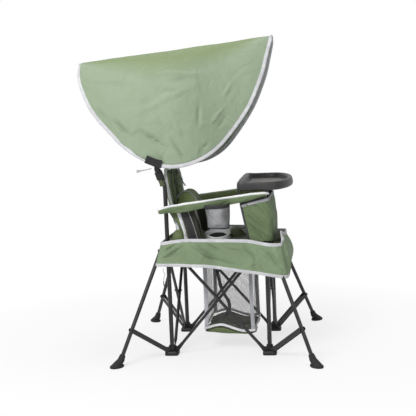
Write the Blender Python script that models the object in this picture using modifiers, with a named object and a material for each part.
"""A folding baby chair: four posts joined by crossing braces, splayed legs, a fabric
seat with a leg sack, arms, a tray and a tilting canopy. Metres, +Z up, +X forward."""

import math

import bmesh
import bpy
from mathutils import Matrix, Vector

# Plan of the frame
POST_SPREAD = 0.2036
LEG_SPLAY = 0.1864
CLEARANCE = 0.0003
OVERRUN = 0.004

# Reach of the whole chair along X, which sets the origin under its middle
REAR_REACH = 0.5907
FRONT_REACH = 0.4207

# Posts
POST_RADIUS = 0.009
POST_BASE = 0.008
FRONT_POST_DROP = 0.0075
REAR_BEND_RISE = 0.092
REAR_BEND_RUN = 0.036
REAR_TIP_RUN = 0.0345
REAR_LEAN = math.radians(23)

# Pivots of the crossing braces
LUG_REACH = 0.024
LOWER_PIVOT = 0.024
UPPER_PIVOT = 0.440
BRACE_RADIUS = 0.0065
BRACE_OFFSET = 0.007
BRACE_END = 0.008
BRACE_FLAT = 0.005
BRACE_FLAT_WIDTH = 0.0164
BRACE_FLAT_RUN = 0.013
BRACE_NECK_RUN = 0.034
RIVET_RADIUS = 0.0025
RIVET_HEAD_RADIUS = 0.0052
RIVET_HEAD = 0.0018

# Hubs and sliding brackets
COLLAR_RADIUS = 0.0135
COLLAR_WALL_SIDES = 12
HUB_HEIGHT = 0.040
HUB_FLANGE_RADIUS = 0.021
HUB_FLANGE = 0.006
BRACKET_DROP = 0.030
BRACKET_RISE = 0.017
BORE_RADIUS = 0.00965
EAR_THICKNESS = 0.003
EAR_HALF_HEIGHT = 0.009
PIN_RADIUS = 0.0025
STAY_LUG_REACH = 0.026
STAY_LUG_RADIUS = 0.0105
STAY_SLOT_RADIUS = 0.0076
LEG_LUG_REACH = 0.036
LEG_EAR_THICKNESS = 0.0025
LEG_EAR_RADIUS = 0.0075

# Legs, stays and feet
LEG_RADIUS = 0.008
LEG_END = 0.008
STAY_DISTANCE = 0.3415
STAY_THICKNESS = 0.0025
STAY_HALF_WIDTH = 0.0085
BOLT_RADIUS = 0.003
BOLT_HEAD_RADIUS = 0.0065
BOLT_HEAD = 0.0035
FOOT_HEIGHT = 0.052
FOOT_LENGTH = 0.062
FOOT_WIDTH = 0.044
FOOT_TOE = 0.006
FOOT_TOP_RADIUS = 0.0118
FOOT_SOLE = 0.008
LEG_STANDOFF = 0.010

# Seat leaves, with a hole for each of the child's legs
SEAT_GAP = 0.0008
SEAT_THICKNESS = 0.009
SEAT_REAR_MARGIN = 0.0427
SEAT_FRONT_MARGIN = 0.0832
SEAT_SIDE_MARGIN = 0.0442
SEAT_POST_GAP = 0.00175
LEG_HOLE_X = -0.008
LEG_HOLE_Y = 0.082
LEG_HOLE_LENGTH = 0.116
LEG_HOLE_WIDTH = 0.096

# Leg sack under the seat
SACK_REAR = -0.070
SACK_FRONT = 0.141
SACK_HALF_WIDTH = 0.150
SACK_WALL = 0.002
SACK_BASE = 0.088
SACK_FLOOR_THICKNESS = 0.016
SACK_FLOOR_LIP = 0.006
SACK_BULGE = 0.006

# Skirt round the seat
SKIRT_WALL = 0.002
SKIRT_INSET = 0.0008
SKIRT_FRONT_INSET = 0.0148
SKIRT_REAR_FLARE = 0.021
SKIRT_FRONT_FLARE = 0.058
SKIRT_SIDE_REAR_FLARE = 0.022
SKIRT_SIDE_FRONT_FLARE = 0.034
SKIRT_CHAMFER = 0.019
SKIRT_TOP_GAP = 0.0008
SKIRT_REAR_DROP = 0.074
SKIRT_FRONT_DROP = 0.131
SKIRT_FRONT_BELLY = 0.014
SKIRT_FOLD = 0.0035
SKIRT_FOLDS = 3.5
SKIRT_COLUMNS = 14
SKIRT_ROWS = 4

# Arms, which run over the front posts and round the rear ones
ARM_THICKNESS = 0.004
ARM_OUTER_MARGIN = 0.0334
ARM_INNER_MARGIN = 0.0236
ARM_REAR_MARGIN = 0.0524
ARM_FRONT_MARGIN = 0.0354
ARM_REAR_RISE = 0.1402
ARM_FRONT_RISE = 0.2072
ARM_FLAP = 0.036
# An arm's top edge along its length and up its rise, and how deep its flap hangs there
ARM_SHARES = (
    (0.00, 0.000, 0.47), (0.13, 0.22, 0.80), (0.40, 0.40, 0.72), (0.73, 0.76, 1.18),
    (0.93, 0.985, 1.10), (1.00, 1.000, 0.60),
)

# Cup pocket on the right arm
POCKET_CENTRE_X = 0.0125
POCKET_RISE = 0.030
POCKET_DEPTH = 0.098
POCKET_TOP_WIDTH = 0.101
POCKET_BASE_WIDTH = 0.070
POCKET_REACH = 0.062
POCKET_WALL = 0.002

# Back panel and front panel
BACK_THICKNESS = 0.012
BACK_BASE_SETBACK = 0.0566
BACK_TOP_MARGIN = 0.0034
BACK_HEIGHT = 0.3069
BACK_SIDE_SETBACK = 0.0276
BACK_HOLLOW = 0.022
BACK_FOOT = 0.0013
PANEL_WALL = 0.004
PANEL_TOP_MARGIN = 0.0129
PANEL_BASE_MARGIN = 0.0494
PANEL_SIDE_MARGIN = 0.0119
PANEL_RETURN_TOP_RUN = 0.0996
PANEL_RETURN_BASE_RUN = 0.0676
PANEL_TOP_DIP = 0.0077
PANEL_CORNER = 0.013
PANEL_BEND_SHARES = (5 / 12, 8 / 12)
PANEL_BULGE = 0.008

# Tray
TRAY_REAR_RUN = 0.1156
TRAY_BOW_MARGIN = 0.0004
TRAY_FRONT_MARGIN = 0.1094
TRAY_SIDE_MARGIN = 0.0094
TRAY_LIFT = 0.0015
TRAY_HEIGHT = 0.0415
TRAY_REAR_LIP = 0.007
TRAY_FLARE = 0.010
TRAY_RIM_WIDTH = 0.008
TRAY_FLOOR = 0.004
TRAY_CORNER = 0.020
TRAY_FRONT_STEPS = 14
TRAY_BOSS_RADIUS = 0.013
TRAY_BOSS_DROP = 0.0015

# Canopy
CANOPY_SIDE_MARGIN = 0.0264
CANOPY_WALL = 0.0016
CANOPY_LENGTH = 0.814
CANOPY_HEIGHT = 0.522
CANOPY_LIFT = 0.013
CLIP_TRAIL = 0.0105
# The ridge's two ends along the canopy's length and up its height
RIDGE_SHARES = ((-0.0098, 0.864), (0.9988, 1.0019))
CANOPY_COLUMNS = 30
CANOPY_ROWS = 10
CANOPY_SQUARENESS = 2.2
HOOP_RADIUS = 0.0035
HOOP_OFFSET = HOOP_RADIUS + CANOPY_WALL + 2 * CLEARANCE
# The rim's points along the canopy's length, across its half width and up its height
RIM_SHARES = (
    (0.000, 0.139, 0.843), (0.012, 0.370, 0.768), (0.023, 0.500, 0.684), (0.048, 0.609, 0.588),
    (0.081, 0.704, 0.480), (0.129, 0.796, 0.379), (0.185, 0.870, 0.287), (0.254, 0.950, 0.176),
    (0.332, 1.000, 0.091), (0.414, 1.000, 0.028), (0.502, 1.000, 0.000), (0.595, 0.955, 0.020),
    (0.672, 0.855, 0.072), (0.734, 0.725, 0.145), (0.788, 0.609, 0.241), (0.840, 0.522, 0.346),
    (0.887, 0.461, 0.459), (0.926, 0.435, 0.587), (0.959, 0.409, 0.721), (0.981, 0.370, 0.853),
    (0.996, 0.270, 0.940), (1.001, 0.130, 0.990),
)

# Canopy clips on the rear posts
SOCKET_RADIUS = 0.0122
SOCKET_LENGTH = 0.0325
SOCKET_COVER = 0.006
SOCKET_BOSS_RADIUS = 0.0095
SOCKET_BOSS_REACH = 0.0125
CLIP_EAR_THICKNESS = 0.0078
CLIP_EAR_RADIUS = 0.0100
CLIP_EAR_RISE = 0.0250
CLIP_WIDTH = 0.0150
CLIP_SLOT = 0.0086
CLIP_DEPTH = 0.0200
CLIP_FLOOR = 0.0028
CLIP_PIN_RADIUS = 0.0035
CLIP_HEAD_RADIUS = 0.0080
CLIP_HEAD = 0.0040
CLIP_SPAN_SHARES = (0.404, 0.449)

# Shoulder pads on the back panel
PAD_THICKNESS = 0.008
PAD_OFFSET = 0.062
PAD_HALF_WIDTH = 0.024
PAD_LIFT = 0.0010
PAD_RISE_SHARES = (0.42, 0.94)

# Tie cord under the skirt and its hook
TIE_SETBACK = 0.0525
TIE_MARGIN = 0.0017
TIE_DROP = 0.0076
TIE_RADIUS = 0.0015
TIE_LENGTH = 0.054
TIE_SWAY = 0.006
HOOK_RADIUS = 0.0018
HOOK_SHANK = 0.014
HOOK_BEND = 0.0055

# Places that follow from the sizes above
FOOT_SPREAD = POST_SPREAD + LEG_SPLAY
SEAT_HEIGHT = UPPER_PIVOT + BRACKET_RISE + SEAT_GAP
SEAT_REAR = -POST_SPREAD - SEAT_REAR_MARGIN
SEAT_FRONT = POST_SPREAD + SEAT_FRONT_MARGIN
SEAT_HALF_WIDTH = POST_SPREAD + SEAT_SIDE_MARGIN
SEAT_POST_CUT = (POST_RADIUS + SEAT_POST_GAP) * math.sqrt(2)
SEAT_CORNER = SEAT_REAR_MARGIN + SEAT_SIDE_MARGIN + SEAT_POST_CUT
SEAT_FRONT_CORNER = SEAT_FRONT_MARGIN + SEAT_SIDE_MARGIN + SEAT_POST_CUT
SKIRT_TOP_REAR = SEAT_REAR + SKIRT_INSET
SKIRT_TOP_FRONT = SEAT_FRONT - SKIRT_FRONT_INSET
SKIRT_TOP_SIDE = SEAT_HALF_WIDTH - SKIRT_INSET
SKIRT_HEM_REAR = SKIRT_TOP_REAR - SKIRT_REAR_FLARE
SKIRT_HEM_FRONT = SKIRT_TOP_FRONT + SKIRT_FRONT_FLARE
SKIRT_HEM_SIDE_REAR = SKIRT_TOP_SIDE + SKIRT_SIDE_REAR_FLARE
SKIRT_HEM_SIDE_FRONT = SKIRT_TOP_SIDE + SKIRT_SIDE_FRONT_FLARE
SKIRT_TOP_HEIGHT = SEAT_HEIGHT - SKIRT_TOP_GAP
SKIRT_HEM_HEIGHT_REAR = SKIRT_TOP_HEIGHT - SKIRT_REAR_DROP
SKIRT_HEM_HEIGHT_FRONT = SKIRT_TOP_HEIGHT - SKIRT_FRONT_DROP
ARM_OUTER = POST_SPREAD + ARM_OUTER_MARGIN
ARM_INNER = POST_SPREAD - ARM_INNER_MARGIN
ARM_REAR = -POST_SPREAD - ARM_REAR_MARGIN
ARM_FRONT = POST_SPREAD + ARM_FRONT_MARGIN
ARM_TOP_REAR = SEAT_HEIGHT + ARM_REAR_RISE
ARM_TOP_FRONT = SEAT_HEIGHT + ARM_FRONT_RISE
FRONT_POST_TOP = ARM_TOP_FRONT - FRONT_POST_DROP
REAR_BEND_START = ARM_TOP_REAR + REAR_BEND_RISE
POCKET_TOP = ARM_TOP_REAR + POCKET_RISE
BACK_BASE_X = BACK_BASE_SETBACK - POST_SPREAD
BACK_TOP_X = -POST_SPREAD - BACK_TOP_MARGIN
BACK_TOP_HEIGHT = SEAT_HEIGHT + SEAT_THICKNESS + BACK_FOOT + BACK_HEIGHT
BACK_HALF_WIDTH = POST_SPREAD - BACK_SIDE_SETBACK
PANEL_TOP_X = POST_SPREAD + PANEL_TOP_MARGIN
PANEL_BASE_X = POST_SPREAD + PANEL_BASE_MARGIN
PANEL_SIDE = POST_SPREAD + PANEL_SIDE_MARGIN
PANEL_RETURN_TOP_X = POST_SPREAD - PANEL_RETURN_TOP_RUN
PANEL_RETURN_BASE_X = POST_SPREAD - PANEL_RETURN_BASE_RUN
TRAY_REAR = POST_SPREAD - TRAY_REAR_RUN
TRAY_SIDE_RUN = POST_SPREAD + TRAY_BOW_MARGIN
TRAY_FRONT = POST_SPREAD + TRAY_FRONT_MARGIN
TRAY_HALF_WIDTH = POST_SPREAD + TRAY_SIDE_MARGIN
TRAY_BASE = ARM_TOP_FRONT + TRAY_LIFT
TRAY_RIM = TRAY_BASE + TRAY_HEIGHT
FRONT_BOSS_BASE = TRAY_BASE - TRAY_BOSS_DROP
CANOPY_HALF_WIDTH = POST_SPREAD + CANOPY_SIDE_MARGIN
TIE_X = SKIRT_HEM_REAR + TIE_SETBACK
TIE_SIDE = -SKIRT_HEM_SIDE_REAR - TIE_MARGIN
TIE_TOP = SKIRT_HEM_HEIGHT_REAR - TIE_DROP

ORIGIN_X = (REAR_REACH - FRONT_REACH) / 2
ROUND_SIDES = 12
PIN_SIDES = 10

# Colours with roughness and metallic values
STEEL = ((0.030, 0.030, 0.033), 0.42, 0.55)
PLASTIC = ((0.022, 0.022, 0.024), 0.50, 0.0)
RUBBER = ((0.018, 0.018, 0.019), 0.75, 0.0)
CHARCOAL = ((0.070, 0.066, 0.066), 0.45, 0.0)
SAGE = ((0.340, 0.430, 0.290), 0.85, 0.0)
MOSS = ((0.240, 0.330, 0.200), 0.88, 0.0)
OLIVE = ((0.100, 0.130, 0.060), 0.90, 0.0)
MESH_GREY = ((0.400, 0.390, 0.400), 0.80, 0.0)
BINDING = ((0.780, 0.790, 0.800), 0.80, 0.0)
CORD_GREY = ((0.520, 0.520, 0.530), 0.80, 0.0)

UP = Vector((0, 0, 1))
SIDES = {"rear": -1, "front": 1}
HANDS = {"right": -1, "left": 1}


def clear_scene():
    for obj in list(bpy.data.objects):
        bpy.data.objects.remove(obj, do_unlink=True)


def new_collection(name):
    collection = bpy.data.collections.new(name)
    bpy.context.scene.collection.children.link(collection)
    return collection


def material(name, colour, roughness, metallic):
    made = bpy.data.materials.new(name)
    made.use_nodes = True
    shader = made.node_tree.nodes["Principled BSDF"]
    shader.inputs["Base Color"].default_value = (*colour, 1.0)
    shader.inputs["Roughness"].default_value = roughness
    shader.inputs["Metallic"].default_value = metallic
    made.diffuse_color = (*colour, 1.0)
    return made


def rod(start, end, radius, sides=ROUND_SIDES, end_radius=None):
    """A round bar, or a cone, between two points."""
    start, end = Vector(start), Vector(end)
    turn = (end - start).to_track_quat("Z", "Y").to_matrix().to_4x4()
    bm = bmesh.new()
    bmesh.ops.create_cone(
        bm, cap_ends=True, segments=sides, radius1=radius,
        radius2=radius if end_radius is None else end_radius,
        depth=(end - start).length,
        matrix=Matrix.Translation((start + end) / 2) @ turn,
    )
    return bm


def prism(outline, depth):
    """A flat outline pushed out along the vector depth."""
    return loft([outline, [Vector(point) + depth for point in outline]])


def loft(rings):
    """A closed solid grown ring by ring from its first cap."""
    bm = bmesh.new()
    face = bm.faces.new([bm.verts.new(point) for point in rings[0]])
    for lower, upper in zip(rings, rings[1:]):
        grown = bmesh.ops.extrude_face_region(bm, geom=[face, *face.edges, *face.verts])["geom"]
        face = [item for item in grown if isinstance(item, bmesh.types.BMFace)][0]
        for vert in face.verts:
            place = min(range(len(lower)), key=lambda i: (vert.co - Vector(lower[i])).length)
            vert.co = upper[place]
    bmesh.ops.recalc_face_normals(bm, faces=bm.faces)
    return bm


def ear(root, pivot, width, depth, steps=4):
    """A plate from root to a round end about pivot, pushed out along depth."""
    along = (pivot - root).normalized()
    across = depth.cross(along).normalized()
    outline = [root - across * width, root + across * width]
    for step in range(steps + 1):
        angle = math.pi * (0.5 - step / steps)
        outline.append(pivot + along * width * math.cos(angle) + across * width * math.sin(angle))
    return prism([point - depth / 2 for point in outline], depth)


class Workshop:
    """Makes objects, keeps them in their collections and under the chair's empty."""

    def __init__(self):
        self.parts = new_collection("baby_canopy_chair")
        self.cutters = new_collection("cutters")
        self.frame = bpy.data.objects.new("chair_frame", None)
        self.frame.location = (ORIGIN_X, 0, 0)
        self.parts.objects.link(self.frame)

    def add(self, name, data, finish):
        obj = bpy.data.objects.new(name, data)
        obj.parent = self.frame
        data.materials.append(material(name + "_finish", *finish))
        self.parts.objects.link(obj)
        return obj

    def solid(self, name, bm, finish, smooth=True):
        data = bpy.data.meshes.new(name)
        bm.to_mesh(data)
        bm.free()
        if smooth:
            data.shade_smooth()
            data.set_sharp_from_angle(angle=math.radians(35))
        return self.add(name, data, finish)

    def operand(self, name, bm):
        data = bpy.data.meshes.new(name)
        bm.to_mesh(data)
        bm.free()
        obj = bpy.data.objects.new(name, data)
        obj.parent = self.frame
        obj.hide_render = True
        obj.display_type = "WIRE"
        self.cutters.objects.link(obj)
        return obj

    def fuse(self, obj, shapes):
        for number, bm in enumerate(shapes):
            join = obj.modifiers.new("join", "BOOLEAN")
            join.operation = "UNION"
            join.object = self.operand(f"{obj.name}_join_{number}", bm)

    def cut(self, obj, shapes):
        for number, bm in enumerate(shapes):
            hole = obj.modifiers.new("cut", "BOOLEAN")
            hole.operation = "DIFFERENCE"
            hole.object = self.operand(f"{obj.name}_cut_{number}", bm)

    def pipe(self, name, points, radius, finish, resolution=4, cyclic=False):
        data = bpy.data.curves.new(name, "CURVE")
        data.dimensions = "3D"
        data.bevel_depth = radius
        data.bevel_resolution = resolution
        data.use_fill_caps = True
        spline = data.splines.new("POLY")
        spline.points.add(len(points) - 1)
        for slot, point in zip(spline.points, points):
            slot.co = (*point, 1.0)
        spline.use_cyclic_u = cyclic
        return self.add(name, data, finish)

    def sheet(self, name, surface, columns, rows, thickness, finish):
        """A cloth wall: a grid laid on surface(u, v), then thickened both ways."""
        bm = bmesh.new()
        bmesh.ops.create_grid(bm, x_segments=columns, y_segments=rows, size=0.5)
        for vert in bm.verts:
            vert.co = surface(vert.co.x + 0.5, vert.co.y + 0.5)
        bmesh.ops.recalc_face_normals(bm, faces=bm.faces)
        obj = self.solid(name, bm, finish)
        wall = obj.modifiers.new("wall", "SOLIDIFY")
        wall.thickness = thickness
        wall.offset = 0
        wall.use_even_offset = True
        return obj


def mix(first, second, share):
    return first + (second - first) * share


def smooth_path(points, share):
    """A point on the smooth curve through the points, from 0 at one end to 1 at the other."""
    place = min(max(share, 0.0), 1.0) * (len(points) - 1)
    index = min(int(place), len(points) - 2)
    t = place - index
    before = points[max(index - 1, 0)]
    start = points[index]
    end = points[index + 1]
    after = points[min(index + 2, len(points) - 1)]
    return (
        start * 2 + (end - before) * t
        + (before * 2 - start * 5 + end * 4 - after) * t ** 2
        + (start * 3 - before - end * 3 + after) * t ** 3
    ) / 2


class Corner:
    """One post of the frame, with the ways to its neighbours and out to its foot."""

    def __init__(self, side, hand):
        self.name = f"{side}_{hand}"
        self.side = side
        self.hand = hand
        self.axis = Vector((SIDES[side] * POST_SPREAD, HANDS[hand] * POST_SPREAD, 0))
        self.to_side = Vector((-SIDES[side], 0, 0))
        self.to_hand = Vector((0, -HANDS[hand], 0))
        self.outward = Vector((SIDES[side], HANDS[hand], 0)).normalized()
        self.across = UP.cross(self.outward)

    def at(self, height, reach=0.0, way=None):
        return self.axis + UP * height + (way * reach if way else Vector())

    @property
    def leg_top(self):
        return self.at(UPPER_PIVOT, LEG_LUG_REACH, self.outward)

    @property
    def foot(self):
        return Vector((SIDES[self.side], HANDS[self.hand], 0)) * FOOT_SPREAD

    @property
    def leg_bolt(self):
        down = (self.foot - self.leg_top).normalized()
        return self.leg_top + down * STAY_DISTANCE

    @property
    def stay_pivot(self):
        return self.at(LOWER_PIVOT, STAY_LUG_REACH, self.outward)


# At each corner, which of its two sides meets the brace on the chair's inner face
LOWER_INNER = {
    "rear_right": (True, True), "front_right": (False, True),
    "rear_left": (True, False), "front_left": (False, False),
}


def post_path(corner):
    if corner.side == "front":
        return [corner.at(POST_BASE + CLEARANCE), corner.at(FRONT_POST_TOP)]
    path = [corner.at(POST_BASE + CLEARANCE), corner.at(REAR_BEND_START)]
    back = Vector((-1, 0, 0))
    steps = 4
    radius = REAR_BEND_RUN / math.sin(REAR_LEAN)
    for step in range(1, steps + 1):
        angle = REAR_LEAN * step / steps
        path.append(
            corner.at(REAR_BEND_START) + UP * radius * math.sin(angle)
            + back * radius * (1 - math.cos(angle))
        )
    lean = UP * math.cos(REAR_LEAN) + back * math.sin(REAR_LEAN)
    path.append(path[-1] + lean * REAR_TIP_RUN)
    return path


def post_tip(corner):
    """The rear post's end and the way it points."""
    path = post_path(corner)
    return path[-1], (path[-1] - path[-2]).normalized()


def canopy_pivot(corner):
    tip, lean = post_tip(corner)
    return tip + lean * (SOCKET_COVER + SOCKET_BOSS_RADIUS)


def lug_shapes(corner, height, inner_pair):
    """Two ears and a pin on each side that meets a brace."""
    ways = ((corner.to_side, corner.to_hand), (corner.to_hand, corner.to_side))
    gap = BRACE_FLAT / 2 + CLEARANCE
    shapes = []
    for (along, inward), inner in zip(ways, inner_pair):
        offset = inward * (BRACE_OFFSET if inner else -BRACE_OFFSET)
        pivot = corner.at(height, LUG_REACH, along) + offset
        root = corner.at(height, COLLAR_RADIUS / 2, along) + offset
        for turn in (-1, 1):
            middle = inward * turn * (gap + EAR_THICKNESS / 2)
            shapes.append(ear(root + middle, pivot + middle, EAR_HALF_HEIGHT, inward * EAR_THICKNESS))
        reach = inward * (gap + EAR_THICKNESS + RIVET_HEAD)
        shapes.append(rod(pivot - reach, pivot + reach, PIN_RADIUS, PIN_SIDES))
    return shapes


def make_posts(shop, corners):
    for corner in corners:
        shop.pipe(corner.name + "_post", post_path(corner), POST_RADIUS, STEEL)


def make_hubs(shop, corners):
    for corner in corners:
        collar = rod(corner.at(0), corner.at(HUB_HEIGHT), COLLAR_RADIUS, COLLAR_WALL_SIDES)
        hub = shop.solid(corner.name + "_hub", collar, PLASTIC)
        flange = rod(corner.at(0), corner.at(HUB_FLANGE), HUB_FLANGE_RADIUS, COLLAR_WALL_SIDES)
        stay_ear = ear(
            corner.at(LOWER_PIVOT), corner.stay_pivot, STAY_LUG_RADIUS,
            corner.across * (LEG_RADIUS * 2),
        )
        shop.fuse(hub, [flange, stay_ear, *lug_shapes(corner, LOWER_PIVOT, LOWER_INNER[corner.name])])
        slot_reach = corner.across * (LEG_RADIUS + OVERRUN)
        bore = rod(corner.at(POST_BASE), corner.at(HUB_HEIGHT + OVERRUN), BORE_RADIUS)
        slot = rod(
            corner.stay_pivot - slot_reach, corner.stay_pivot + slot_reach, STAY_SLOT_RADIUS,
        )
        shop.cut(hub, [bore, slot])


def make_brackets(shop, corners):
    for corner in corners:
        low, high = UPPER_PIVOT - BRACKET_DROP, UPPER_PIVOT + BRACKET_RISE
        collar = rod(corner.at(low), corner.at(high), COLLAR_RADIUS, COLLAR_WALL_SIDES)
        bracket = shop.solid(corner.name + "_bracket", collar, PLASTIC)
        upper_inner = [not inner for inner in LOWER_INNER[corner.name]]
        shapes = lug_shapes(corner, UPPER_PIVOT, upper_inner)
        gap = LEG_RADIUS + CLEARANCE
        for turn in (-1, 1):
            middle = corner.across * turn * (gap + LEG_EAR_THICKNESS / 2)
            shapes.append(ear(
                corner.at(UPPER_PIVOT) + middle, corner.leg_top + middle, LEG_EAR_RADIUS,
                corner.across * LEG_EAR_THICKNESS,
            ))
        reach = corner.across * (gap + LEG_EAR_THICKNESS + RIVET_HEAD)
        shapes.append(rod(corner.leg_top - reach, corner.leg_top + reach, PIN_RADIUS, PIN_SIDES))
        shop.fuse(bracket, shapes)
        bore = rod(corner.at(low - OVERRUN), corner.at(high + OVERRUN), BORE_RADIUS)
        shop.cut(bracket, [bore])


def brace_ring(centre, along, flat_way, half_width, half_depth):
    across = flat_way.cross(along)
    ring = []
    for step in range(ROUND_SIDES):
        angle = 2 * math.pi * (step + 0.5) / ROUND_SIDES
        ring.append(
            centre + across * half_width * math.cos(angle) + flat_way * half_depth * math.sin(angle)
        )
    return ring


def brace_body(low, high, flat_way):
    """A tube whose two ends are pressed flat round their pivots."""
    along = (high - low).normalized()
    half_flat = BRACE_FLAT / 2
    half_width = BRACE_FLAT_WIDTH / 2
    stations = (
        (-BRACE_END, half_width * 0.55, half_flat), (-BRACE_END * 0.65, half_width * 0.88, half_flat),
        (0.0, half_width, half_flat), (BRACE_FLAT_RUN, half_width, half_flat),
        (BRACE_NECK_RUN, BRACE_RADIUS, BRACE_RADIUS),
    )
    rings = [brace_ring(low + along * run, along, flat_way, *size) for run, *size in stations]
    rings += [
        brace_ring(high - along * run, along, flat_way, *size) for run, *size in reversed(stations)
    ]
    return loft(rings)


def make_braces(shop, corners):
    """Each side has an inner and an outer brace, riveted together where they cross."""
    by_name = {corner.name: corner for corner in corners}
    sides = (
        ("right", "rear_right", "front_right"), ("rear", "rear_right", "rear_left"),
        ("front", "front_right", "front_left"), ("left", "rear_left", "front_left"),
    )
    for side, first, second in sides:
        start, end = by_name[first], by_name[second]
        way = (end.axis - start.axis).normalized()
        inward = start.to_hand if way.x else start.to_side
        for kind, near, far, heading in (
            ("inner", start, end, way), ("outer", end, start, -way),
        ):
            offset = inward * (BRACE_OFFSET if kind == "inner" else -BRACE_OFFSET)
            low = near.at(LOWER_PIVOT, LUG_REACH, heading) + offset
            high = far.at(UPPER_PIVOT, -LUG_REACH, heading) + offset
            body = brace_body(low, high, inward)
            brace = shop.solid(f"{side}_{kind}_brace", body, STEEL)
            middle = (low + high) / 2
            through = inward * (BRACE_FLAT + OVERRUN)
            holes = [
                rod(low - through, low + through, PIN_RADIUS + CLEARANCE, PIN_SIDES),
                rod(high - through, high + through, PIN_RADIUS + CLEARANCE, PIN_SIDES),
            ]
            reach = BRACE_RADIUS + OVERRUN
            if kind == "outer":
                holes.append(rod(
                    middle - inward * reach, middle + inward * reach, RIVET_RADIUS + CLEARANCE,
                    PIN_SIDES,
                ))
            shop.cut(brace, holes)
            if kind == "inner":
                shop.fuse(brace, rivet_shapes(middle, inward))


def rivet_shapes(middle, inward):
    """The crossing's rivet, set in the inner brace with its heads outside both tubes."""
    inner_face = middle + inward * (BRACE_RADIUS + RIVET_HEAD)
    outer_face = middle - inward * (2 * BRACE_OFFSET + BRACE_RADIUS)
    seat = outer_face - inward * CLEARANCE
    return [
        rod(inner_face, seat - inward * RIVET_HEAD / 2, RIVET_RADIUS, PIN_SIDES),
        rod(inner_face, middle, RIVET_HEAD_RADIUS, PIN_SIDES),
        rod(seat, seat - inward * RIVET_HEAD, RIVET_HEAD_RADIUS, PIN_SIDES),
    ]


def make_legs(shop, corners):
    for corner in corners:
        down = (corner.foot - corner.leg_top).normalized()
        top = corner.leg_top - down * LEG_END
        tip = corner.foot - down * LEG_STANDOFF
        leg = shop.solid(corner.name + "_leg", rod(top, tip, LEG_RADIUS), STEEL)
        through = corner.across * (LEG_RADIUS + OVERRUN)
        shop.cut(leg, [
            rod(corner.leg_top - through, corner.leg_top + through, PIN_RADIUS + CLEARANCE, PIN_SIDES),
            rod(corner.leg_bolt - through, corner.leg_bolt + through, BOLT_RADIUS + CLEARANCE,
                PIN_SIDES),
        ])


def make_stays(shop, corners):
    """Two flat bars each side of the leg, held together by their bolt and their pin."""
    for corner in corners:
        bolt, pivot = corner.leg_bolt, corner.stay_pivot
        along = (bolt - pivot).normalized()
        width = along.cross(corner.across) * STAY_HALF_WIDTH
        bars = []
        for turn in (-1, 1):
            middle = corner.across * turn * (LEG_RADIUS + CLEARANCE + STAY_THICKNESS / 2)
            outline = []
            for end, heading in ((bolt, along), (pivot, -along)):
                turned = width if end is bolt else -width
                for step in range(7):
                    angle = math.pi * (0.5 - step / 6)
                    outline.append(
                        end + middle - corner.across * STAY_THICKNESS / 2
                        + heading * STAY_HALF_WIDTH * math.cos(angle) + turned * math.sin(angle)
                    )
            bars.append(prism(outline, corner.across * STAY_THICKNESS))
        reach = LEG_RADIUS + CLEARANCE + STAY_THICKNESS
        across = corner.across
        joins = [
            bars[1],
            rod(bolt - across * (reach + BOLT_HEAD / 2), bolt + across * (reach + BOLT_HEAD / 2),
                BOLT_RADIUS, PIN_SIDES),
            rod(pivot - across * (reach + BOLT_HEAD / 2), pivot + across * (reach + BOLT_HEAD / 2),
                PIN_RADIUS, PIN_SIDES),
        ]
        sunk = STAY_THICKNESS / 2
        for turn in (-1, 1):
            face = across * turn
            joins.append(rod(bolt + face * (reach - sunk), bolt + face * (reach + BOLT_HEAD),
                             BOLT_HEAD_RADIUS, 6))
            joins.append(rod(pivot + face * (reach - sunk), pivot + face * (reach + RIVET_HEAD),
                             RIVET_HEAD_RADIUS, PIN_SIDES))
        stay = shop.solid(corner.name + "_stay", bars[0], STEEL)
        shop.fuse(stay, joins)


def make_feet(shop, corners):
    """Flared boots: an oval sole on the floor, drawn in to a round top on the leg."""
    for corner in corners:
        up = (corner.leg_top - corner.foot).normalized()
        out, across = corner.outward, corner.across
        stations = ((0.0, 0.94), (FOOT_SOLE * 0.35, 1.0), (FOOT_SOLE, 1.0), (FOOT_SOLE * 1.5, 0.80))
        rings = []
        for height, share in stations:
            middle = corner.foot + UP * height + out * FOOT_TOE
            rings.append(boot_ring(middle, out, across, FOOT_LENGTH / 2 * share, FOOT_WIDTH / 2 * share))
        for run, swell in ((FOOT_HEIGHT * 0.58, 1.22), (FOOT_HEIGHT * 0.92, 1.0), (FOOT_HEIGHT, 0.93)):
            middle = corner.foot + up * run
            lean = across.cross(up)
            radius = FOOT_TOP_RADIUS * swell
            rings.append(boot_ring(middle, lean, across, radius, radius))
        boot = shop.solid(corner.name + "_foot", loft(rings), RUBBER)
        end = corner.foot + up * (LEG_STANDOFF - CLEARANCE)
        mouth = corner.foot + up * (FOOT_HEIGHT + OVERRUN)
        shop.cut(boot, [rod(end, mouth, LEG_RADIUS + CLEARANCE * 1.2)])


def boot_ring(middle, long_way, wide_way, length, width):
    ring = []
    for step in range(ROUND_SIDES):
        angle = 2 * math.pi * (step + 0.5) / ROUND_SIDES
        ring.append(middle + long_way * length * math.cos(angle) + wide_way * width * math.sin(angle))
    return ring


def seat_outline(turn):
    """Half of the seat, with its outer corners cut off past the posts."""
    side = turn * SEAT_HALF_WIDTH
    rear_shoulder = turn * (SEAT_HALF_WIDTH - SEAT_CORNER)
    front_shoulder = turn * (SEAT_HALF_WIDTH - SEAT_FRONT_CORNER)
    middle = turn * CLEARANCE
    plan = (
        (SEAT_REAR, middle), (SEAT_REAR, rear_shoulder), (SEAT_REAR + SEAT_CORNER, side),
        (SEAT_FRONT - SEAT_FRONT_CORNER, side), (SEAT_FRONT, front_shoulder), (SEAT_FRONT, middle),
    )
    return [Vector((x, y, SEAT_HEIGHT)) for x, y in plan]


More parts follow.
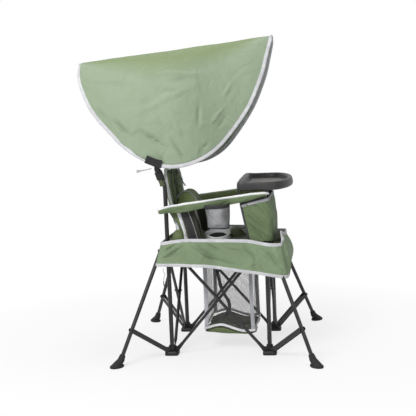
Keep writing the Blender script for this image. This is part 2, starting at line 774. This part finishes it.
def make_seat(shop):
    """Two padded leaves that fold down, each with a leg hole."""
    for hand, turn in HANDS.items():
        leaf = prism(seat_outline(turn), UP * SEAT_THICKNESS)
        seat = shop.solid(f"seat_leaf_{hand}", leaf, OLIVE)
        round_edge = seat.modifiers.new("soft_edge", "BEVEL")
        round_edge.width = SEAT_THICKNESS / 4
        round_edge.segments = 1
        round_edge.limit_method = "ANGLE"
        hole = []
        for step in range(16):
            angle = 2 * math.pi * step / 16
            hole.append(Vector((
                LEG_HOLE_X + LEG_HOLE_LENGTH / 2 * math.cos(angle),
                turn * LEG_HOLE_Y + LEG_HOLE_WIDTH / 2 * math.sin(angle),
                SEAT_HEIGHT - OVERRUN,
            )))
        shop.cut(seat, [prism(hole, UP * (SEAT_THICKNESS + 2 * OVERRUN))])


def make_sack(shop):
    """Four mesh walls hanging from the seat and a padded floor in two leaves."""
    top = SEAT_HEIGHT - CLEARANCE

    def side_wall(turn):
        def surface(u, v):
            bow = SACK_BULGE * math.sin(math.pi * u) * math.sin(math.pi * v)
            return (
                mix(SACK_REAR, SACK_FRONT, u), turn * (SACK_HALF_WIDTH + bow), mix(SACK_BASE, top, v),
            )
        return surface

    def end_wall(place, turn):
        half = SACK_HALF_WIDTH - SACK_WALL / 2 - CLEARANCE

        def surface(u, v):
            bow = SACK_BULGE * math.sin(math.pi * u) * math.sin(math.pi * v)
            inset = SACK_WALL / 2 * turn
            return place - inset + turn * bow, mix(-half, half, u), mix(SACK_BASE, top, v)
        return surface

    for hand, turn in HANDS.items():
        shop.sheet(f"sack_side_{hand}", side_wall(turn), 4, 4, SACK_WALL, MESH_GREY)
    shop.sheet("sack_rear", end_wall(SACK_REAR, -1), 4, 4, SACK_WALL, MESH_GREY)
    shop.sheet("sack_front", end_wall(SACK_FRONT, 1), 4, 4, SACK_WALL, MESH_GREY)
    for hand, turn in HANDS.items():
        make_floor_leaf(shop, hand, turn)


def make_floor_leaf(shop, hand, turn):
    half = SACK_HALF_WIDTH + SACK_FLOOR_LIP
    rear, front = SACK_REAR - SACK_FLOOR_LIP, SACK_FRONT + SACK_FLOOR_LIP
    low = SACK_BASE - CLEARANCE - SACK_FLOOR_THICKNESS

    def ring(height, inset):
        points = []
        for step in range(6):
            angle = math.pi / 2 * step / 5
            points.append((
                front - inset - SACK_HALF_WIDTH / 4 * (1 - math.cos(angle)),
                half - inset - SACK_HALF_WIDTH / 4 * (1 - math.sin(angle)),
            ))
        for step in range(6):
            angle = math.pi / 2 * step / 5
            points.append((
                rear + inset + SACK_HALF_WIDTH / 4 * (1 - math.sin(angle)),
                half - inset - SACK_HALF_WIDTH / 4 * (1 - math.cos(angle)),
            ))
        points.append((rear + inset, CLEARANCE))
        points.append((front - inset, CLEARANCE))
        return [Vector((x, turn * y, height)) for x, y in points]

    thick = SACK_FLOOR_THICKNESS
    rings = [
        ring(low, thick * 0.9), ring(low + thick * 0.15, thick * 0.35), ring(low + thick * 0.55, 0),
        ring(low + thick, thick * 0.15),
    ]
    shop.solid(f"sack_floor_{hand}", loft(rings), MOSS)


def skirt_fold(u, v):
    return SKIRT_FOLD * v * math.sin(2 * math.pi * SKIRT_FOLDS * u)


def skirt_side_path(u):
    """Plan of a side's top edge and of its hem, with both ends turned round the corners."""
    cut = SKIRT_CHAMFER
    top = [
        Vector((SKIRT_TOP_REAR, SKIRT_TOP_SIDE - cut)), Vector((SKIRT_TOP_REAR + cut, SKIRT_TOP_SIDE)),
        Vector((SKIRT_TOP_FRONT - cut, SKIRT_TOP_SIDE)), Vector((SKIRT_TOP_FRONT, SKIRT_TOP_SIDE - cut)),
    ]
    hem = [
        Vector((SKIRT_HEM_REAR, SKIRT_HEM_SIDE_REAR - cut)),
        Vector((SKIRT_HEM_REAR + cut, SKIRT_HEM_SIDE_REAR)),
        Vector((SKIRT_HEM_FRONT - cut, SKIRT_HEM_SIDE_FRONT)),
        Vector((SKIRT_HEM_FRONT, SKIRT_HEM_SIDE_FRONT - cut)),
    ]
    end = 1 / SKIRT_COLUMNS
    if u < end:
        return [mix(line[0], line[1], u / end) for line in (top, hem)]
    if u > 1 - end:
        return [mix(line[3], line[2], (1 - u) / end) for line in (top, hem)]
    return [mix(line[1], line[2], (u - end) / (1 - 2 * end)) for line in (top, hem)]


def make_skirt(shop):
    """Four flared panels with soft folds, whose ends meet round the legs."""

    def side(turn):
        def surface(u, v):
            top, hem = skirt_side_path(u)
            plan = mix(top, hem, v)
            low = mix(SKIRT_HEM_HEIGHT_REAR, SKIRT_HEM_HEIGHT_FRONT, u)
            inner = 0 if u in (0.0, 1.0) else skirt_fold(u, v)
            return plan.x, turn * (plan.y + max(inner, 0)), mix(SKIRT_TOP_HEIGHT, low, v)
        return surface

    def end(top_x, hem_x, low, hem_side, belly):
        def surface(u, v):
            gap = SKIRT_CHAMFER + SKIRT_WALL * 0.4 + CLEARANCE
            half = mix(SKIRT_TOP_SIDE, hem_side, v) - gap
            across = 2 * u - 1
            out = belly * (1 - across ** 2) * mix(1.0, 0.6, v) + abs(skirt_fold(u, v))
            heading = 1 if top_x > 0 else -1
            x = mix(top_x, hem_x, v) + heading * out
            return x, across * half, mix(SKIRT_TOP_HEIGHT, low, v)
        return surface

    for hand, turn in HANDS.items():
        shop.sheet(f"skirt_{hand}", side(turn), SKIRT_COLUMNS, SKIRT_ROWS, SKIRT_WALL, SAGE)
    front = end(
        SKIRT_TOP_FRONT, SKIRT_HEM_FRONT, SKIRT_HEM_HEIGHT_FRONT, SKIRT_HEM_SIDE_FRONT,
        SKIRT_FRONT_BELLY,
    )
    rear = end(
        SKIRT_TOP_REAR, SKIRT_HEM_REAR, SKIRT_HEM_HEIGHT_REAR, SKIRT_HEM_SIDE_REAR, 0.0,
    )
    shop.sheet("skirt_front", front, SKIRT_COLUMNS, SKIRT_ROWS, SKIRT_WALL, SAGE)
    shop.sheet("skirt_rear", rear, SKIRT_COLUMNS, SKIRT_ROWS, SKIRT_WALL, SAGE)


def arm_line(u):
    share = smooth_path([Vector(point) for point in ARM_SHARES], u)
    x = mix(ARM_REAR, ARM_FRONT, share.x)
    return x, mix(ARM_TOP_REAR, ARM_TOP_FRONT, share.y), ARM_FLAP * share.z


def make_arms(shop, corners):
    """A fabric band over the posts with a flap outside; the rear post comes up through it."""
    band_rows = 1 / 3

    def arm(turn):
        def surface(u, v):
            x, top, flap = arm_line(u)
            top -= ARM_THICKNESS / 2
            if v <= 2 * band_rows + 1e-6:
                return x, turn * mix(ARM_INNER, ARM_OUTER, v / (2 * band_rows)), top
            return x, turn * ARM_OUTER, top - flap * (v - 2 * band_rows) / band_rows
        return surface

    for corner in corners:
        if corner.side == "front":
            continue
        turn = HANDS[corner.hand]
        band = shop.sheet(f"arm_{corner.hand}", arm(turn), 15, 3, ARM_THICKNESS, SAGE)
        low, high = corner.at(ARM_TOP_REAR - ARM_FLAP), corner.at(ARM_TOP_FRONT)
        shop.cut(band, [rod(low, high, BORE_RADIUS)])


def make_cup_pocket(shop):
    """An open mesh pocket, flat against the right arm's flap and round outside."""
    back = -(ARM_OUTER + ARM_THICKNESS / 2 + CLEARANCE)

    def ring(height, width, reach, wall):
        points = []
        steps = 10
        for step in range(steps + 1):
            angle = math.pi * step / steps
            points.append(Vector((
                POCKET_CENTRE_X - (width / 2 - wall) * math.cos(angle),
                back - wall - (reach - 2 * wall) * math.sin(angle), height,
            )))
        return points

    low = POCKET_TOP - POCKET_DEPTH
    narrow = POCKET_BASE_WIDTH / POCKET_TOP_WIDTH
    outer = [
        ring(low, POCKET_BASE_WIDTH * 0.9, POCKET_REACH * narrow * 0.9, 0),
        ring(low + POCKET_DEPTH * 0.12, POCKET_BASE_WIDTH, POCKET_REACH * narrow, 0),
        ring(POCKET_TOP, POCKET_TOP_WIDTH, POCKET_REACH, 0),
    ]
    inner = [
        ring(low + POCKET_WALL, POCKET_BASE_WIDTH * 0.9, POCKET_REACH * narrow * 0.9, POCKET_WALL),
        ring(POCKET_TOP + OVERRUN, POCKET_TOP_WIDTH, POCKET_REACH, POCKET_WALL),
    ]
    pocket = shop.solid("cup_pocket", loft(outer), MESH_GREY)
    shop.cut(pocket, [loft(inner)])


def back_point(across, rise):
    """The back panel's middle surface, hollowed across and leaning with the rear posts."""
    base = SEAT_HEIGHT + SEAT_THICKNESS + BACK_FOOT
    lean = math.sin(math.pi / 2 * rise)
    hollow = BACK_HOLLOW * (1 - across ** 2) * math.sin(math.pi * (0.15 + 0.70 * rise))
    x = mix(BACK_BASE_X, BACK_TOP_X, rise * 0.55 + lean * 0.45) - hollow
    return Vector((x, across * BACK_HALF_WIDTH, mix(base, BACK_TOP_HEIGHT, rise)))


def make_back_panel(shop):
    """The padded back with a shoulder pad down each side of its middle."""
    panel = shop.sheet(
        "back_panel", lambda u, v: back_point(2 * u - 1, v), 8, 8, BACK_THICKNESS, OLIVE,
    )
    soften = panel.modifiers.new("soft_edge", "BEVEL")
    soften.width = BACK_THICKNESS / 4
    soften.segments = 1
    soften.limit_method = "ANGLE"
    soften.angle_limit = math.radians(60)
    lift = Vector((BACK_THICKNESS / 2 + PAD_THICKNESS / 2 + PAD_LIFT, 0, 0))
    for hand, turn in HANDS.items():
        def surface(u, v, turn=turn):
            across = (turn * PAD_OFFSET + PAD_HALF_WIDTH * (2 * u - 1)) / BACK_HALF_WIDTH
            return back_point(across, mix(*PAD_RISE_SHARES, v)) + lift
        shop.sheet(f"shoulder_pad_{hand}", surface, 4, 6, PAD_THICKNESS, MOSS)


def panel_plan(u, v):
    """Half the front panel's plan, from the middle of its front back along its side."""
    front = mix(PANEL_TOP_X, PANEL_BASE_X, v) + PANEL_BULGE * math.sin(math.pi * v)
    back = mix(PANEL_RETURN_TOP_X, PANEL_RETURN_BASE_X, v)
    flat = PANEL_SIDE - PANEL_CORNER
    bend_start, bend_end = PANEL_BEND_SHARES
    if u <= bend_start:
        return front, flat * u / bend_start
    if u <= bend_end:
        angle = math.pi / 2 * (u - bend_start) / (bend_end - bend_start)
        return (
            front - PANEL_CORNER * (1 - math.cos(angle)), flat + PANEL_CORNER * math.sin(angle),
        )
    return mix(front - PANEL_CORNER, back, (u - bend_end) / (1 - bend_end)), PANEL_SIDE


def make_front_panel(shop):
    """A cloth wall bent round the outside of the two front posts."""
    base = SEAT_HEIGHT + SEAT_THICKNESS + CLEARANCE

    def surface(u, v):
        across = 2 * u - 1
        x, y = panel_plan(abs(across), v)
        run = (x - PANEL_RETURN_TOP_X) / (PANEL_TOP_X - PANEL_RETURN_TOP_X)
        top = arm_underside(x) - PANEL_WALL - PANEL_TOP_DIP * min(max(run, 0.0), 1.0)
        return x, math.copysign(y, across), mix(top, base, v)

    shop.sheet("front_panel", surface, 24, 5, PANEL_WALL, MOSS)


def arm_underside(x):
    """Height of the arm's lower face above a place along the chair."""
    best = min((abs(arm_line(step / 60)[0] - x), step) for step in range(61))
    return arm_line(best[1] / 60)[1] - ARM_THICKNESS - CLEARANCE


def tray_outline(grow, height, lip=0.0):
    """The tray's plan: a straight rear edge, short sides and a bowed front."""
    half = TRAY_HALF_WIDTH + grow
    rear = TRAY_REAR - grow
    points = []
    for turn in (1, -1):
        arc = []
        for step in range(4):
            angle = math.pi / 2 * step / 3
            arc.append(Vector((
                rear + TRAY_CORNER * (1 - math.sin(angle)),
                turn * (half - TRAY_CORNER * (1 - math.cos(angle))), height + lip,
            )))
        points += arc if turn > 0 else arc[::-1]
    front = []
    reach = TRAY_FRONT + grow - TRAY_SIDE_RUN
    for step in range(TRAY_FRONT_STEPS + 1):
        angle = math.pi * (step / TRAY_FRONT_STEPS - 0.5)
        front.append(Vector((
            TRAY_SIDE_RUN + reach * math.cos(angle) ** 0.8, half * math.sin(angle), height,
        )))
    return points + front


def make_tray(shop, corners):
    """A deep moulded tray with a rolled rim and a boss over each front post."""
    outer = [
        tray_outline(-TRAY_FLARE, TRAY_BASE),
        tray_outline(-TRAY_FLARE * 0.3, mix(TRAY_BASE, TRAY_RIM, 0.45)),
        tray_outline(0, TRAY_RIM - TRAY_RIM_WIDTH * 0.3, TRAY_REAR_LIP * 0.8),
        tray_outline(-TRAY_RIM_WIDTH * 0.3, TRAY_RIM, TRAY_REAR_LIP),
    ]
    wall = TRAY_RIM_WIDTH
    inner = [
        tray_outline(-TRAY_FLARE - wall, TRAY_BASE + TRAY_FLOOR),
        tray_outline(-wall * 1.5, TRAY_BASE + TRAY_FLOOR + wall * 0.6),
        tray_outline(-wall, TRAY_RIM + TRAY_REAR_LIP + OVERRUN),
    ]
    tray = shop.solid("tray", loft(outer), CHARCOAL)
    shop.cut(tray, [loft(inner)])
    bosses = []
    for corner in corners:
        if corner.side == "front":
            inward = corner.to_hand * (TRAY_BOSS_RADIUS / 2)
            top = corner.at(TRAY_BASE + TRAY_FLOOR / 2) + inward
            bottom = corner.at(FRONT_BOSS_BASE) + inward
            bosses.append(rod(bottom, top, TRAY_BOSS_RADIUS, ROUND_SIDES, TRAY_BOSS_RADIUS * 0.85))
    shop.fuse(tray, bosses)


def rim_share(t):
    return smooth_path([Vector(point) for point in RIM_SHARES], t)


def canopy_place(along, up):
    """A place in the canopy's side view; its clips' middle lies a little behind their pivot."""
    pivot = canopy_pivot(Corner("rear", "right"))
    held = rim_share(sum(CLIP_SPAN_SHARES) / 2)
    rear = pivot.x - CLIP_TRAIL - CANOPY_LENGTH * held.x
    return Vector((rear + CANOPY_LENGTH * along, 0, pivot.z + CANOPY_LIFT + CANOPY_HEIGHT * up))


def canopy_rim(t):
    """The right-hand rim from the rear tip, down past the clip, to the front tip."""
    share = rim_share(t)
    side = Vector((0, -CANOPY_HALF_WIDTH * min(share.y, 1.0), 0))
    return canopy_place(share.x, share.z) + side


def canopy_point(t, s):
    """The sheet: t from rear to front, s from the right rim over the ridge to the left rim."""
    across = 2 * s - 1
    rim = canopy_rim(t)
    start, end = RIDGE_SHARES
    ridge = canopy_place(mix(start[0], end[0], t), mix(start[1], end[1], t))
    angle = math.pi / 2 * abs(across)
    wide = math.sin(angle) ** (2 / CANOPY_SQUARENESS)
    high = max(math.cos(angle), 0.0) ** (2 / CANOPY_SQUARENESS)
    return Vector((
        mix(rim.x, ridge.x, high), math.copysign(rim.y * wide, across), mix(rim.z, ridge.z, high),
    ))


def past_edge(t, s, across_way, along_way, off):
    """A place off beyond the sheet's edge at (t, s), square to the edge."""
    small = 0.01
    here = canopy_point(t, s)
    inside = canopy_point(t + across_way[0] * small, s + across_way[1] * small)
    ahead = canopy_point(
        min(max(t + along_way[0] * small, 0), 1), min(max(s + along_way[1] * small, 0), 1),
    )
    behind = canopy_point(
        min(max(t - along_way[0] * small, 0), 1), min(max(s - along_way[1] * small, 0), 1),
    )
    along = (ahead - behind).normalized()
    out = here - inside
    out -= along * out.dot(along)
    return here + out.normalized() * off


def hoop_path():
    """A closed loop just outside the sheet's four edges."""
    off = HOOP_OFFSET
    columns, rows = CANOPY_COLUMNS, CANOPY_ROWS
    loop = []
    for step in range(columns + 1):
        loop.append(past_edge(step / columns, 0, (0, 1), (1, 0), off))
    for step in range(1, rows):
        loop.append(past_edge(1, step / rows, (-1, 0), (0, 1), off))
    for step in range(columns, -1, -1):
        loop.append(past_edge(step / columns, 1, (0, -1), (1, 0), off))
    for step in range(rows - 1, 0, -1):
        loop.append(past_edge(0, step / rows, (1, 0), (0, 1), off))
    return loop


def make_canopy(shop, corners):
    shop.sheet("canopy_shade", canopy_point, CANOPY_COLUMNS, CANOPY_ROWS, CANOPY_WALL, SAGE)
    shop.pipe("canopy_hoop", hoop_path(), HOOP_RADIUS, CORD_GREY, resolution=1, cyclic=True)
    for corner in corners:
        if corner.side == "rear":
            make_socket(shop, corner)
            make_clip(shop, corner)


def make_socket(shop, corner):
    """A cap on the bent tip of a rear post, with a cross boss for the clip's pin."""
    tip, lean = post_tip(corner)
    pivot = canopy_pivot(corner)
    side = corner.to_hand
    body = rod(tip - lean * SOCKET_LENGTH, pivot, SOCKET_RADIUS)
    socket = shop.solid(f"canopy_socket_{corner.hand}", body, PLASTIC)
    boss = rod(
        pivot - side * SOCKET_BOSS_REACH, pivot + side * SOCKET_BOSS_REACH, SOCKET_BOSS_RADIUS,
    )
    shop.fuse(socket, [boss])
    reach = side * (SOCKET_BOSS_REACH + OVERRUN)
    shop.cut(socket, [
        rod(tip - lean * (SOCKET_LENGTH + OVERRUN), tip + lean * CLEARANCE,
            BORE_RADIUS),
        rod(pivot - reach, pivot + reach, CLIP_PIN_RADIUS + CLEARANCE, PIN_SIDES),
    ])


def rim_line(t):
    """A place on the rim as it is built, straight from one column to the next."""
    column = min(int(t * CANOPY_COLUMNS), CANOPY_COLUMNS - 1)
    start, end = (canopy_rim((column + step) / CANOPY_COLUMNS) for step in (0, 1))
    return mix(start, end, t * CANOPY_COLUMNS - column)


def rim_band(first, last, low, high):
    """A strip of the rim's own line, between two distances outward, in the chair's side plane."""
    inside = range(math.ceil(first * CANOPY_COLUMNS), math.floor(last * CANOPY_COLUMNS) + 1)
    rim = [rim_line(first), *(canopy_rim(step / CANOPY_COLUMNS) for step in inside), rim_line(last)]
    out = []
    for index, point in enumerate(rim):
        before = point - rim[index - 1] if index else Vector()
        after = rim[index + 1] - point if index < len(rim) - 1 else Vector()
        along = before.normalized() + after.normalized()
        down = Vector((0, 1, 0)).cross(along).normalized()
        out.append((point + down * low, point + down * high))
    return [pair[0] for pair in out] + [pair[1] for pair in reversed(out)]


def make_clip(shop, corner):
    """A channel round the hoop and the rim, an ear beside the socket and a headed pin."""
    turn = HANDS[corner.hand]
    pivot = canopy_pivot(corner)
    ear_face = POST_SPREAD + SOCKET_BOSS_REACH + CLEARANCE
    ear_middle = Vector((pivot.x, turn * (ear_face + CLIP_EAR_THICKNESS / 2), pivot.z))
    rise = Vector((0, 0, CLIP_EAR_RISE))
    width = Vector((0, turn * CLIP_WIDTH, 0))
    slot = Vector((0, turn * CLIP_SLOT, 0))
    middle = Vector((0, turn * CANOPY_HALF_WIDTH, 0))
    hoop_low = HOOP_OFFSET + HOOP_RADIUS + CLEARANCE
    first, last = CLIP_SPAN_SHARES

    def slab(first_share, last_share, low, high, wide):
        band = rim_band(first_share, last_share, low, high)
        flat = [Vector((point.x, 0, point.z)) + middle - wide / 2 for point in band]
        return prism(flat, wide)

    channel = slab(first, last, hoop_low + CLIP_FLOOR, -CLIP_DEPTH, width)
    clip = shop.solid(f"canopy_clip_{corner.hand}", channel, PLASTIC)
    side = Vector((0, turn, 0))
    thick = side * CLIP_EAR_THICKNESS
    plate = ear(ear_middle + rise, ear_middle, CLIP_EAR_RADIUS, thick)
    inner_end = POST_SPREAD - SOCKET_BOSS_REACH - CLEARANCE
    axis = Vector((pivot.x, 0, pivot.z))
    pin = rod(
        axis + side * (inner_end - CLIP_HEAD / 2), axis + side * (ear_face + CLIP_EAR_THICKNESS / 2),
        CLIP_PIN_RADIUS, PIN_SIDES,
    )
    head = rod(
        axis + side * (inner_end - CLIP_HEAD), axis + side * inner_end, CLIP_HEAD_RADIUS,
    )
    shop.fuse(clip, [plate, pin, head])
    margin = 2 * OVERRUN / CANOPY_LENGTH
    shop.cut(clip, [slab(
        first - margin, last + margin, hoop_low, -(CLIP_DEPTH + OVERRUN), slot,
    )])


def make_tie(shop):
    """A short cord hanging below the skirt's rear corner, with a wire hook at its end."""
    cord = []
    for step in range(7):
        share = step / 6
        cord.append(Vector((
            TIE_X + TIE_SWAY * math.sin(math.pi * share) ** 4, TIE_SIDE, TIE_TOP - TIE_LENGTH * share,
        )))
    shop.pipe("tie_cord", cord, TIE_RADIUS, CORD_GREY, resolution=1)
    top = TIE_TOP - TIE_LENGTH - CLEARANCE
    hook = [Vector((TIE_X, TIE_SIDE, top)), Vector((TIE_X, TIE_SIDE, top - HOOK_SHANK))]
    for step in range(1, 7):
        angle = math.radians(210) * step / 6
        hook.append(Vector((
            TIE_X + HOOK_BEND * (1 - math.cos(angle)), TIE_SIDE,
            top - HOOK_SHANK - HOOK_BEND * math.sin(angle),
        )))
    shop.pipe("tie_hook", hook, HOOK_RADIUS, PLASTIC, resolution=1)


def main():
    clear_scene()
    shop = Workshop()
    corners = [Corner(side, hand) for side in SIDES for hand in HANDS]
    make_posts(shop, corners)
    make_hubs(shop, corners)
    make_brackets(shop, corners)
    make_braces(shop, corners)
    make_legs(shop, corners)
    make_stays(shop, corners)
    make_feet(shop, corners)
    make_seat(shop)
    make_sack(shop)
    make_skirt(shop)
    make_arms(shop, corners)
    make_cup_pocket(shop)
    make_back_panel(shop)
    make_front_panel(shop)
    make_tray(shop, corners)
    make_canopy(shop, corners)
    make_tie(shop)


main()
